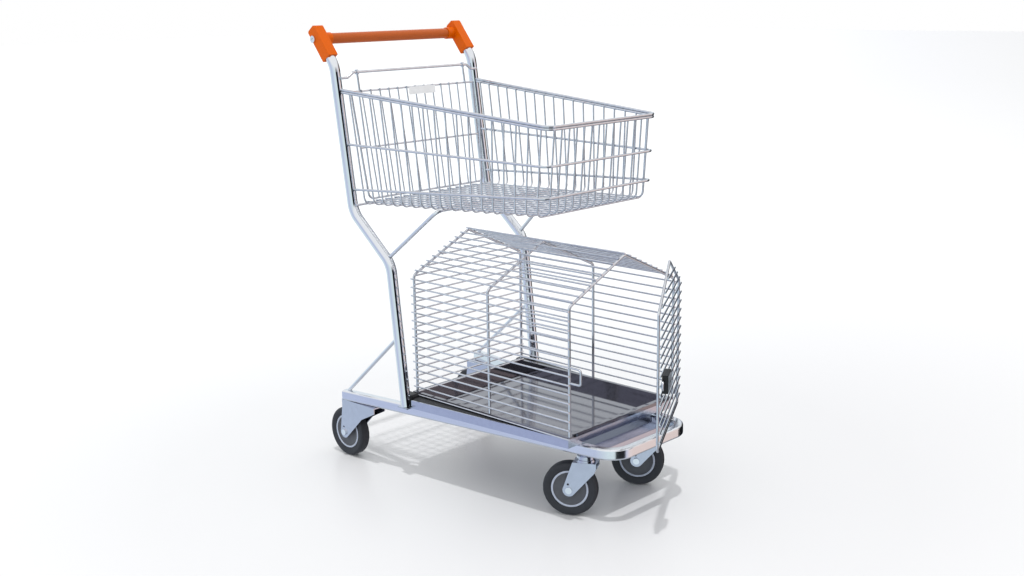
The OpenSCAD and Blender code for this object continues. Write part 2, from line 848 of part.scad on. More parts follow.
// Draws the closed door: Y runs from the hinge axis to the free edge, X outwards
module on_door() {
    placed() translate([hinge_x, hinge_y, 0]) rotate([0, 0, door_open])
        mirror([0, 1, 0]) children();
}

function door_top(y) = door_eave_z
    + (ridge_z - eave_z) * (1 - abs(y - cage_y) / cage_y);

// Frame wire with a peaked top, and the eyes that turn on the hinge pins
module door_frame() {
    d = door_frame_d;
    x = door_offset;
    far = door_w - d / 2;
    eye_d = hinge_pin_d + 2 * run_gap;
    color("silver") on_door() {
        bent_tube([
            [x, cage_y, door_bottom_z], [x, far, door_bottom_z], [x, far, door_top(far)],
            [x, cage_y, door_top(cage_y)]], d, 9);
        bent_tube([
            [x, cage_y, door_bottom_z], [x, door_edge, door_bottom_z],
            [x, door_edge, door_top(door_edge)], [x, cage_y, door_top(cage_y)]], d, 5);
        for (z = [eye_low_z, eye_high_z]) difference() {
            union() {
                translate([0, 0, z - eye_h / 2])
                    cylinder(h = eye_h, d = eye_d + 2 * eye_wall);
                translate([x - 2, 2, z - eye_h / 2 + 2]) cube([4, door_edge, eye_h - 4]);
            }
            translate([0, 0, z - eye_h]) cylinder(h = 2 * eye_h, d = eye_d);
        }
    }
}

// Level wires of the door, on the outside of its frame
module door_wires() {
    x = door_offset + (door_frame_d + cage_mesh_d) / 2 - weld;
    far = door_w - door_frame_d / 2 + 2;
    color("silver") on_door() {
        for (z = [door_bottom_z + door_pitch:door_pitch:door_eave_z + 2])
            rod([x, door_edge - door_frame_d / 2 - door_stub, z], [x, far, z], cage_mesh_d);
        for (z = [door_eave_z + door_pitch - 4:door_pitch:ridge_z - 18]) {
            half = cage_y * (1 - (z - door_eave_z) / (ridge_z - eave_z)) + 3;
            rod([x, cage_y - half, z], [x, min(cage_y + half, far), z], cage_mesh_d);
        }
    }
}

// Black case that guides the latch bolt, with its grey cover plate
module latch_housing() {
    start = door_w - latch_inset - latch_case[0];
    color("#202226") on_door() difference() {
        translate([case_x, start, latch_z - latch_case[2] / 2])
            cube([latch_case[1], latch_case[0], latch_case[2]]);
        translate([bolt_x, 0, latch_z]) both_bolt_legs()
            rotate([-90, 0, 0]) cylinder(h = door_w, d = latch_bolt_d + 2 * bolt_gap);
    }
}

// Grey cover of the latch case, with a round corner and a thumb slot
module latch_plate() {
    start = door_w - latch_inset - latch_case[0] + 3;
    wide = latch_case[0] - 6;
    high = latch_case[2] - 6;
    round_r = 9;
    slot = [20, 8];
    color("gray") on_door()
        translate([case_x + latch_case[1], start, latch_z - high / 2])
            rotate([90, 0, 90]) linear_extrude(sheet_t / 2) difference() {
                polygon(concat([[wide, 0], [wide, high]],
                    arc_points([round_r, high - round_r], round_r, 90, 6), [[0, 0]]));
                translate([(wide - slot[0]) / 2, (high - slot[1]) / 2]) square(slot);
            }
}

module both_bolt_legs() {
    translate([0, 0, latch_bolt_w / 2]) children();
    translate([0, 0, -latch_bolt_w / 2]) children();
}

// U-shaped wire that slides out past the door's free edge
module latch_bolt() {
    start = door_w - latch_inset - latch_case[0] + 1;
    h = latch_bolt_w / 2;
    color("silver") on_door() bent_tube([
        [bolt_x, start, latch_z - h], [bolt_x, bolt_tip, latch_z - h],
        [bolt_x, bolt_tip, latch_z + h], [bolt_x, start, latch_z + h]], latch_bolt_d, 5);
}

// Folded pan: a flat floor, four walls, a hem turned outwards and a front lip
module tray() {
    pan_w = 2 * tray_y;
    pan_l = tray_front_x - tray_rear_x;
    hem_z = deck_z + tray_rim - hem_t;
    hem_y = tray_y + tray_t + hem_w;
    front = cage_front_x + arch_d / 2 + 1;
    color("darkgray") placed() difference() {
        union() {
            translate([tray_rear_x - tray_t, -tray_y - tray_t, deck_z])
                cube([pan_l + 2 * tray_t, pan_w + 2 * tray_t, tray_rim]);
            translate([tray_rear_x - tray_t - hem_w, -hem_y, hem_z])
                cube([front - tray_rear_x + tray_t + hem_w, 2 * hem_y, hem_t]);
            translate([front - 3, -tray_y + 2, hem_z + hem_t - 0.5])
                cube([3, pan_w - 4, lip_h]);
        }
        translate([tray_rear_x, -tray_y, deck_z + tray_t]) cube([pan_l, pan_w, tray_rim]);
        both_sides() translate([cage_middle_x, cage_y, deck_z - 1])
            cylinder(h = 2 * tray_rim, d = arch_d + 2 * post_hole_gap);
    }
}

// Black wedges that fill the deck between the tray and the bearers, each with a
// rounded block at its rear end
strip_inner = tray_y + tray_t + 0.3;
strip_rear_x = bearer_rear_x - 11;
block_x = bearer_rear_x - 49;
block_y = cage_y + wire_gap + cage_mesh_d / 2 + 0.4;
block_w = 20;
block_h = 24;
block_round = 7;
strip_pin_d = 6;

module tray_side_strips() {
    tip_w = 4;
    tip_x = bearer_rear_x + (bearer_rear_y - sheet_t - strip_inner - tip_w) / bearer_slope;
    length = strip_rear_x + 2 - block_x;
    top = side_z(cage_side_n - 1) - cage_mesh_d / 2 - 0.6;
    color("#202226") placed() both_sides() difference() {
        union() {
            translate([0, 0, deck_z]) linear_extrude(top - deck_z) polygon([
                [strip_rear_x, strip_inner], [strip_rear_x, block_y + block_w],
                [bearer_rear_x, block_y + block_w],
                [bearer_rear_x, bearer_y(bearer_rear_x) - sheet_t],
                [tip_x, strip_inner + tip_w], [tip_x, strip_inner]]);
            translate([block_x, block_y + block_w, deck_z]) rotate([90, 0, 0])
                linear_extrude(block_w) polygon(concat([[0, 0], [length, 0]],
                    arc_points([length - block_round, block_h - block_round], block_round, 0, 6),
                    arc_points([block_round, block_h - block_round], block_round, 90, 6)));
        }
        translate([cage_middle_x, cage_y, deck_z - 1])
            cylinder(h = 2 * tray_rim, d = arch_d + 2 * post_hole_gap);
        translate([block_x + 14, 0, deck_z + block_h / 2]) rotate([-90, 0, 0])
            cylinder(h = rail_rear_y, d = strip_pin_d);
    }
}

// Steel pins through the strips' blocks
module strip_pins() {
    proud = 1.5;
    color("silver") placed() both_sides()
        translate([block_x + 14, block_y - 0.5, deck_z + block_h / 2]) rotate([-90, 0, 0])
            cylinder(h = block_w + 0.5 + proud, d = strip_pin_d);
}

// A wheel's parts, drawn about its own axle along Y
module tyre() {
    r = wheel_r;
    w = tyre_w / 2;
    shoulder = 7;
    color("#3e4045") rotate([90, 0, 0]) rotate_extrude($fn = 96) polygon(concat(
        [[hub_d / 2, -w], [r - shoulder, -w]],
        [for (i = [1:5]) [r - shoulder + shoulder * sin(18 * i),
            -w + shoulder * (1 - cos(18 * i))]],
        [for (i = [5:-1:1]) [r - shoulder + shoulder * sin(18 * i),
            w - shoulder * (1 - cos(18 * i))]],
        [[r - shoulder, w], [hub_d / 2, w]]));
}

module hub() {
    disc = tyre_w / 2 - 4;
    rim = tyre_w / 2 - 0.5;
    rim_t = 4;
    color("#55585f") rotate([90, 0, 0]) rotate_extrude($fn = 96) polygon([
        [axle_d / 2 + run_gap, -boss_w / 2], [boss_d / 2, -boss_w / 2], [boss_d / 2, -disc],
        [hub_d / 2 - rim_t, -disc], [hub_d / 2 - rim_t, -rim], [hub_d / 2, -rim],
        [hub_d / 2, rim], [hub_d / 2 - rim_t, rim], [hub_d / 2 - rim_t, disc],
        [boss_d / 2, disc], [boss_d / 2, boss_w / 2], [axle_d / 2 + run_gap, boss_w / 2]]);
}

// Bolt through a fork: a domed head outside, a nut inside
module axle_bolt() {
    head_d = 15;
    head_h = 4;
    color("silver") rotate([90, 0, 0]) {
        translate([0, 0, -fork_outer]) cylinder(h = 2 * fork_outer, d = axle_d);
        translate([0, 0, fork_outer]) cylinder(h = head_h, d = head_d);
        translate([0, 0, -fork_outer - head_h]) cylinder(h = head_h, d = head_d);
    }
}

// Side plate of a fork in the XZ plane about the axle: outline plus round end
module fork_plate(outline, end_r) {
    rotate([90, 0, 0]) linear_extrude(fork_t) difference() {
        union() {
            polygon(outline);
            circle(r = end_r);
        }
        circle(d = axle_d);
        translate([-2, vent_rise]) circle(d = vent_d, $fn = 24);
    }
}

module rear_fork() {
    top = rail_z - wheel_r;
    end_r = 15;
    front = 118;
    color("silver") {
        for (y = [-fork_gap / 2, fork_outer]) translate([0, y, 0]) fork_plate([
            [-end_r, 0], [-5, top - 20], [-5, top], [front, top], [front, top - 15],
            [70, 48], [end_r * sin(45), -end_r * sin(45)]], end_r);
        translate([-5, -fork_outer, top - fork_t]) cube([front + 5, 2 * fork_outer, fork_t]);
    }
}

module at_rear_wheel(side) {
    placed() translate([rear_axle_x, side * rear_wheel_y, wheel_r]) children();
}

module rear_forks() {
    for (side = [right, left]) at_rear_wheel(side) rear_fork();
}

module rear_axle_bolts() {
    for (side = [right, left]) at_rear_wheel(side) axle_bolt();
}

// Places a piece drawn about a front wheel's axle, with its fork turned
module at_front_wheel(side) {
    placed() translate([kingpin_x, side * kingpin_y, wheel_r])
        rotate([0, 0, fork_turn]) translate([-trail, 0, 0]) children();
}

// Fork with a bridge over the wheel and the lower half of the swivel race
module front_fork() {
    top = bridge_z + fork_t - wheel_r;
    end_r = 14.5;
    front = trail + 27;
    color("silver") difference() {
        union() {
            for (y = [-fork_gap / 2, fork_outer]) translate([0, y, 0]) fork_plate([
                [-end_r, 0], [-12, 9], [8, top], [front, top], [front, top - 12],
                [front - 5, 43], [41, 25], [end_r * sin(45), -end_r * sin(45)]], end_r);
            translate([8, -fork_outer, top - fork_t])
                cube([front - 8, 2 * fork_outer, fork_t]);
            translate([trail, 0, top]) cylinder(h = race_h, d = race_d);
        }
        translate([trail, 0, 0])
            cylinder(h = 2 * top, d = kingpin_d + 2 * run_gap);
    }
}

module front_right_fork() {
    at_front_wheel(right) front_fork();
}

module front_left_fork() {
    at_front_wheel(left) front_fork();
}

module front_right_axle_bolt() {
    at_front_wheel(right) axle_bolt();
}

module front_left_axle_bolt() {
    at_front_wheel(left) axle_bolt();
}

// Kingpins with the fixed halves of the races and domed nuts on the cross plate
module kingpins() {
    head_z = bridge_z - face_gap - pin_head_h;
    race_z = bridge_z + fork_t + race_h + face_gap;
    color("silver") placed() both_sides() translate([kingpin_x, kingpin_y, 0]) {
        translate([0, 0, head_z]) cylinder(h = pin_head_h, d = pin_head_d);
        translate([0, 0, head_z]) cylinder(h = plate_top + nut_h - head_z, d = kingpin_d);
        translate([0, 0, race_z]) cylinder(h = 8, d = race_d - 4);
        translate([0, 0, race_z]) cylinder(h = rail_z - race_z, d = collar_d);
        translate([0, 0, plate_top]) cylinder(h = nut_h, d = nut_d);
    }
}

module rear_right_hub() {
    at_rear_wheel(right) hub();
}

module rear_right_tyre() {
    at_rear_wheel(right) tyre();
}

module rear_left_hub() {
    at_rear_wheel(left) hub();
}

module rear_left_tyre() {
    at_rear_wheel(left) tyre();
}

module front_right_hub() {
    at_front_wheel(right) hub();
}

module front_right_tyre() {
    at_front_wheel(right) tyre();
}

module front_left_hub() {
    at_front_wheel(left) hub();
}

module front_left_tyre() {
    at_front_wheel(left) tyre();
}

base_frame();
front_cross_plate();
tray_bearers();
front_cross_member();
rear_struts();
right_upright();
left_upright();
basket_support_rod();
handle_core();
handle_grip();
right_handle_bracket();
left_handle_bracket();
bracket_bolts();
basket_rim_wires();
basket_middle_band();
basket_low_band();
basket_right_wires();
basket_left_wires();
basket_floor_cross_wires();
basket_front_wires();
basket_floor_long_wires();
basket_rear_rod();
flap_hinge_bar();
flap_frame();
flap_wires();
label_plate();
cage_rear_arch();
cage_middle_arch();
cage_front_arch();
cage_right_wires();
cage_left_wires();
cage_roof_wires();
cage_rear_wires();
strike_loop();
door_hinge_pins();
door_frame();
door_wires();
latch_housing();
latch_plate();
latch_bolt();
tray();
tray_side_strips();
strip_pins();
rear_forks();
rear_axle_bolts();
kingpins();
front_right_fork();
front_left_fork();
front_right_axle_bolt();
front_left_axle_bolt();
rear_right_hub();
rear_right_tyre();
rear_left_hub();
rear_left_tyre();
front_right_hub();
front_right_tyre();
front_left_hub();
front_left_tyre();
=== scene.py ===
import json
import math

import bmesh
import bpy
from bpy.props import FloatProperty, FloatVectorProperty, IntProperty, PointerProperty
from mathutils import Matrix, Vector
from mathutils.bvhtree import BVHTree


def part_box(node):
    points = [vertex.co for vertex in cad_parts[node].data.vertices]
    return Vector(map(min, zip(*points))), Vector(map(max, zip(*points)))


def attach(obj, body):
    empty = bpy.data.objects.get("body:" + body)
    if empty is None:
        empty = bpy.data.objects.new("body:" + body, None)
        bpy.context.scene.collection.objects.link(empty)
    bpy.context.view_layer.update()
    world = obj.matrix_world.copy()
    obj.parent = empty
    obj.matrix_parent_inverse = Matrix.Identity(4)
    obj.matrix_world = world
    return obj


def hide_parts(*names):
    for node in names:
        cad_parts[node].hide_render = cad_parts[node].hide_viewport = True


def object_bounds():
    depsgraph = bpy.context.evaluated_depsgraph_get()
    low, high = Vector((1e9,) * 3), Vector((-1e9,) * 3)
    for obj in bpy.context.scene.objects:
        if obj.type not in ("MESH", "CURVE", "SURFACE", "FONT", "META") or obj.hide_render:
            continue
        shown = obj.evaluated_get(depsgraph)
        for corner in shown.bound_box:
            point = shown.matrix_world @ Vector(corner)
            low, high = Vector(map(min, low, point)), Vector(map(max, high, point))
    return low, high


bl_info = {
    "name": "Shopping cart with cage",
    "version": (1, 0, 0),
    "blender": (4, 5, 0),
    "location": "View3D > Sidebar > Cart",
    "description": "Finishes and detailed pieces of a chromed wire shopping cart",
    "category": "Object",
}

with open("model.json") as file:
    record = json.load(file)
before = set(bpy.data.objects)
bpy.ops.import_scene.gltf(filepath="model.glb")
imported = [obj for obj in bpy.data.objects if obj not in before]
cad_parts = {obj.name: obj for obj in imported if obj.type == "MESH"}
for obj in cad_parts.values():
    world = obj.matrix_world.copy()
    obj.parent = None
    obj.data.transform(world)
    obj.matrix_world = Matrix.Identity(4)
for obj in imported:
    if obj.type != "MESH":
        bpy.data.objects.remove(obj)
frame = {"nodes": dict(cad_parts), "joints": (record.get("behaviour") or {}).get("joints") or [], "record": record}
CAD_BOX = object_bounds()

MM = 0.001
SHARP = math.radians(35)
TYRE_HALF = 14 * MM
# where nearly all of a noise texture's values lie
NOISE_LOW, NOISE_HIGH = 0.3, 0.7
WHEELS = ("rear_right", "rear_left", "front_right", "front_left")


# ---------------------------------------------------------------- helpers

def linear(code):
    """An sRGB hex colour as linear red, green and blue."""
    parts = [int(code[i:i + 2], 16) / 255 for i in (1, 3, 5)]
    return tuple(c / 12.92 if c <= 0.04045 else ((c + 0.055) / 1.055) ** 2.4 for c in parts)


def paint(value):
    """A colour property as the four numbers that a colour socket takes."""
    return (value[0], value[1], value[2], 1.0)


def add_node(tree, kind, inputs=None, **settings):
    """Adds a node. An input that is a socket is linked, and any other is set."""
    node = tree.nodes.new(kind)
    for name, value in settings.items():
        setattr(node, name, value)
    for key, value in (inputs or {}).items():
        if isinstance(value, bpy.types.NodeSocket):
            tree.links.new(value, node.inputs[key])
        else:
            node.inputs[key].default_value = value
    return node


def new_material(name):
    """An empty node material and its tree."""
    material = bpy.data.materials.new(name)
    material.use_nodes = True
    material.node_tree.nodes.clear()
    return material, material.node_tree


def grain(tree, size, stretch=(1, 1, 1), detail=3.0):
    """Noise on Object coordinates whose features are about size metres across."""
    coords = add_node(tree, "ShaderNodeTexCoord")
    place = add_node(tree, "ShaderNodeMapping", {
        "Vector": coords.outputs["Object"], "Scale": stretch})
    return add_node(tree, "ShaderNodeTexNoise", {
        "Vector": place.outputs[0], "Scale": 1 / size, "Detail": detail}).outputs["Fac"]


def between(tree, factor, low, high):
    """A number that follows factor from low to high."""
    return add_node(tree, "ShaderNodeMapRange", {
        0: factor, 1: NOISE_LOW, 2: NOISE_HIGH, 3: low, 4: high}).outputs[0]


def shade(tree, factor, dark, light):
    """A colour that follows factor from dark to light."""
    mix = add_node(tree, "ShaderNodeMix", {6: paint(dark), 7: paint(light)},
                   data_type="RGBA")
    tree.links.new(between(tree, factor, 0.0, 1.0), mix.inputs[0])
    return mix.outputs[2]


def surface(tree, inputs, height=None, depth=0.0):
    """The shader and output of a material, with a bump of that depth in metres."""
    if height is not None:
        inputs["Normal"] = add_node(tree, "ShaderNodeBump", {
            "Height": height, "Distance": depth, "Strength": 1.0}).outputs[0]
    shader = add_node(tree, "ShaderNodeBsdfPrincipled", inputs)
    add_node(tree, "ShaderNodeOutputMaterial", {"Surface": shader.outputs[0]})


def faded(colour, share):
    """The same colour with that share of its light."""
    return [c * share for c in colour]


def dress(node, name):
    """Gives a CAD node its finish."""
    data = frame["nodes"][node].data
    if not data.materials:
        data.materials.append(bpy.data.materials[name])
    for i in range(len(data.materials)):
        data.materials[i] = bpy.data.materials[name]


def new_piece(name, mesh, body, nodes, materials):
    """A finished piece that rides on a body and stands for those CAD nodes."""
    obj = bpy.data.objects.new(name, mesh)
    bpy.context.scene.collection.objects.link(obj)
    for material in materials:
        mesh.materials.append(bpy.data.materials[material])
    if nodes:
        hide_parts(*nodes)
    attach(obj, body)
    return obj


def body_of(node):
    """The body that a CAD node belongs to."""
    groups = frame["record"]["behaviour"]["bodies"]
    return next(body for body, members in groups.items() if node in members)


def merged_copy(node):
    """A CAD node's shape as one closed bmesh with its flat faces joined up."""
    bm = bmesh.new()
    bm.from_mesh(frame["nodes"][node].data)
    bmesh.ops.remove_doubles(bm, verts=bm.verts, dist=1e-6)
    bmesh.ops.dissolve_limit(bm, angle_limit=math.radians(0.6), verts=bm.verts,
                             edges=bm.edges)
    return bm


def softened(node, name, width, material):
    """Stands for a CAD node with the same shape and its sharp edges rounded."""
    bm = merged_copy(node)
    bmesh.ops.recalc_face_normals(bm, faces=bm.faces)
    for face in bm.faces:
        face.smooth = True
    mesh = bpy.data.meshes.new(name)
    bm.to_mesh(mesh)
    bm.free()
    mesh.set_sharp_from_angle(angle=SHARP)
    obj = new_piece(name, mesh, body_of(node), [node], [material])
    bevel = obj.modifiers.new("Rounded edges", "BEVEL")
    bevel.limit_method = "ANGLE"
    bevel.angle_limit = SHARP
    bevel.width = width
    bevel.segments = 2
    bevel.harden_normals = True
    return obj


def turned(name, profile, centre, axis, steps, materials, body, nodes):
    """A closed profile of (radius, along, finish) points turned about an axis."""
    turn = Vector((0, 0, 1)).rotation_difference(Vector(axis)).to_matrix()
    bm = bmesh.new()
    rings = []
    for i in range(steps):
        angle = 2 * math.pi * i / steps
        rings.append([bm.verts.new(Vector(centre) + turn @ Vector((
            r * math.cos(angle), r * math.sin(angle), along))) for r, along, _ in profile])
    count = len(profile)
    for i in range(steps):
        here, there = rings[i], rings[(i + 1) % steps]
        for j in range(count):
            k = (j + 1) % count
            face = bm.faces.new((here[j], here[k], there[k], there[j]))
            face.material_index = profile[j][2]
            face.smooth = True
    bmesh.ops.recalc_face_normals(bm, faces=bm.faces)
    mesh = bpy.data.meshes.new(name)
    bm.to_mesh(mesh)
    bm.free()
    return new_piece(name, mesh, body, nodes, materials)


# ------------------------------------------------------------- properties

def colour(name, description, code):
    return FloatVectorProperty(name=name, description=description, subtype="COLOR",
                               size=3, min=0, max=1, default=linear(code))


def length(name, description, value):
    return FloatProperty(name=name, description=description, subtype="DISTANCE",
                         unit="LENGTH", min=0, default=value)


class CartFinishes(bpy.types.PropertyGroup):
    chrome: colour("Chrome", "Plating of the tubes", "#E6E9EE")
    wire: colour("Wire", "Plating of the wires", "#DADDE4")
    zinc: colour("Zinc", "Plating of the pressed plates", "#C6CAD8")
    sheet: colour("Sheet", "Polished steel of the tray", "#8B8990")
    bracket: colour("Brackets", "Moulded handle brackets", "#E06200")
    grip: colour("Grip", "Sleeve of the handle bar", "#C05A18")
    black: colour("Black", "Black moulded pieces", "#17181B")
    label: colour("Label", "Blank label plate", "#F4F5F6")
    cover: colour("Cover", "Cover plate of the latch", "#8A9098")
    hub: colour("Hub", "Moulded wheel hubs", "#5A5C62")
    ring: colour("Ring", "Raised ring round each hub", "#C3CBDC")
    tyre: colour("Tyre", "Grey rubber of the tyres", "#34363C")


class CartSizes(bpy.types.PropertyGroup):
    bracket_edge: length("Bracket edges", "Rounding of the brackets' edges", 3 * MM)
    plastic_edge: length("Plastic edges", "Rounding of small mouldings", 0.8 * MM)
    plate_edge: length("Plate edges", "Rounding of pressed plates", 0.5 * MM)
    tyre_shoulder: length("Tyre shoulder", "Rounding of a tyre's shoulders", 7 * MM)
    hub_recess: length("Hub recess", "Depth of a hub's face below the tyre", 4 * MM)
    ring_width: length("Hub ring", "Width of the light ring", 4.6 * MM)
    weld_bead: length("Weld bead", "Radius of a spot weld's bead", 2.1 * MM)
    turned_steps: IntProperty(name="Steps", description="Faces round a turned piece",
                              min=24, max=192, default=96)


class CartStudio(bpy.types.PropertyGroup):
    camera_place: FloatVectorProperty(
        name="Camera", description="Place of the camera", subtype="TRANSLATION",
        unit="LENGTH", default=(2.0058, -2.1427, 1.1444))
    camera_azimuth: FloatProperty(
        name="Azimuth", description="Angle of the view round the cart",
        subtype="ANGLE", default=math.radians(43.903))
    camera_elevation: FloatProperty(
        name="Elevation", description="Angle of the view above level",
        subtype="ANGLE", default=math.radians(13.133))
    camera_roll: FloatProperty(
        name="Roll", description="Tilt of the camera about its view",
        subtype="ANGLE", default=math.radians(-0.88))
    lens: FloatProperty(name="Lens", description="Focal length in millimetres",
                        min=10, max=200, default=44.54)
    floor: length("Floor", "Side of the floor", 60.0)
    key_light: FloatProperty(name="Key light", description="Strength of the soft sun",
                             min=0, default=1.1)
    sky_light: FloatProperty(name="Sky light", description="Strength of the studio's walls",
                             min=0, default=1.0)


# ---------------------------------------------------------------- stage

class CART_OT_stage(bpy.types.Operator):
    """Floor, studio walls, soft light and camera"""
    bl_idname = "cart.stage"
    bl_label = "Stage"

    def execute(self, context):
        studio = context.scene.cart_studio
        self.floor(studio)
        self.walls(context, studio)
        self.lights(context, studio)
        self.camera(context, studio)
        context.scene.view_settings.view_transform = "Standard"
        return {"FINISHED"}

    def floor(self, studio):
        half = studio.floor / 2
        low = CAD_BOX[0].z
        mesh = bpy.data.meshes.new("floor")
        mesh.from_pydata([(-half, -half, low), (half, -half, low), (half, half, low),
                          (-half, half, low)], [], [(0, 1, 2, 3)])
        obj = bpy.data.objects.new("floor", mesh)
        bpy.context.scene.collection.objects.link(obj)
        # lacquered pale floor with painted light fade: nearly matt, with a faint mirror of what stands on it, and
        # painted lighter further from the cart
        material, tree = new_material("lacquered pale floor")
        coords = add_node(tree, "ShaderNodeTexCoord")
        away = add_node(tree, "ShaderNodeVectorMath", {0: coords.outputs["Object"]},
                        operation="LENGTH")
        # painted light: the floor's colour turns from light grey to white between 0.9 m and 3.2 m from the middle,
        # so that the floor fades into the white backdrop
        far = add_node(tree, "ShaderNodeMapRange", {
            0: away.outputs["Value"], 1: 0.9, 2: 3.2, 3: 0.0, 4: 1.0})
        painted_light_fade = add_node(tree, "ShaderNodeMix", {
            0: far.outputs[0], 6: paint(linear("#E2E2E3")), 7: paint(linear("#FFFFFF"))},
            data_type="RGBA")
        surface(tree, {"Base Color": painted_light_fade.outputs[2], "Roughness": 0.3,
                       "Specular IOR Level": 0.2})
        mesh.materials.append(material)
        # the cart's plating mirrors the studio's walls and not this floor
        obj.visible_glossy = False

    def walls(self, context, studio):
        """Soft panels round the cart, given by direction, white to the camera."""
        world = bpy.data.worlds.new("studio walls")
        world.use_nodes = True
        tree = world.node_tree
        tree.nodes.clear()
        way = add_node(tree, "ShaderNodeTexCoord").outputs["Generated"]
        parts = add_node(tree, "ShaderNodeSeparateXYZ", {0: way})
        turn = add_node(tree, "ShaderNodeMath", {0: parts.outputs["Y"], 1: parts.outputs["X"]},
                        operation="ARCTAN2")
        share = add_node(tree, "ShaderNodeMapRange", {
            0: turn.outputs[0], 1: -math.pi, 2: math.pi, 3: 0.0, 4: 1.0})
        panels = add_node(tree, "ShaderNodeValToRGB", {0: share.outputs[0]})
        # the direction of each panel's edge in degrees from +X, and its colour
        stops = ((-180, "#E8F4FA"), (-150, "#E6F4FA"), (-125, "#C4CEEC"), (-100, "#D4DEF0"),
                 (-60, "#E4F4F8"), (-34, "#EAF6F8"), (-28, "#101114"), (10, "#0C0D10"),
                 (17, "#D8DCF0"), (34, "#F6E6E2"), (56, "#F8E2DA"), (63, "#101114"),
                 (108, "#141519"), (118, "#8C93A6"), (128, "#E8F4FA"))
        ramp = panels.color_ramp
        while len(ramp.elements) > 1:
            ramp.elements.remove(ramp.elements[0])
        for i, (degrees, code) in enumerate(stops):
            place = (degrees + 180) / 360
            stop = ramp.elements[0] if i == 0 else ramp.elements.new(place)
            stop.position = place
            stop.color = paint(linear(code))
        rise = add_node(tree, "ShaderNodeMapRange", {
            0: parts.outputs["Z"], 1: 0.2, 2: 0.5, 3: 0.0, 4: 1.0})
        upper = add_node(tree, "ShaderNodeMix", {
            0: rise.outputs[0], 6: panels.outputs[0], 7: paint(linear("#FFFFFF"))},
            data_type="RGBA")
        fall = add_node(tree, "ShaderNodeMapRange", {
            0: parts.outputs["Z"], 1: -0.35, 2: -0.8, 3: 0.0, 4: 1.0})
        lower = add_node(tree, "ShaderNodeMix", {
            0: fall.outputs[0], 6: upper.outputs[2], 7: paint(linear("#B9BEC6"))},
            data_type="RGBA")
        walls = add_node(tree, "ShaderNodeBackground", {
            "Color": lower.outputs[2], "Strength": studio.sky_light})
        white = add_node(tree, "ShaderNodeBackground", {
            "Color": paint(linear("#FFFFFF")), "Strength": 1.0})
        path = add_node(tree, "ShaderNodeLightPath")
        both = add_node(tree, "ShaderNodeMixShader", {
            0: path.outputs["Is Camera Ray"], 1: walls.outputs[0], 2: white.outputs[0]})
        add_node(tree, "ShaderNodeOutputWorld", {"Surface": both.outputs[0]})
        context.scene.world = world

    def lights(self, context, studio):
        lamp = bpy.data.lights.new("key", "SUN")
        lamp.energy = studio.key_light
        lamp.angle = math.radians(1.4)
        key = bpy.data.objects.new("key", lamp)
        key.rotation_euler = (math.radians(6), math.radians(5), 0)
        context.scene.collection.objects.link(key)

    def camera(self, context, studio):
        a, e, roll = studio.camera_azimuth, studio.camera_elevation, studio.camera_roll
        back = Vector((math.sin(a) * math.cos(e), -math.cos(a) * math.cos(e), math.sin(e)))
        side = Vector((math.cos(a), math.sin(a), 0))
        up = back.cross(side)
        right = side * math.cos(roll) + up * math.sin(roll)
        top = up * math.cos(roll) - side * math.sin(roll)
        lens = bpy.data.cameras.new("camera")
        lens.lens = studio.lens
        lens.sensor_width = 36
        camera = bpy.data.objects.new("camera", lens)
        turn = Matrix((right, top, back)).transposed().to_4x4()
        camera.matrix_world = Matrix.Translation(studio.camera_place) @ turn
        context.scene.collection.objects.link(camera)
        context.scene.camera = camera


# -------------------------------------------------------------- finishes

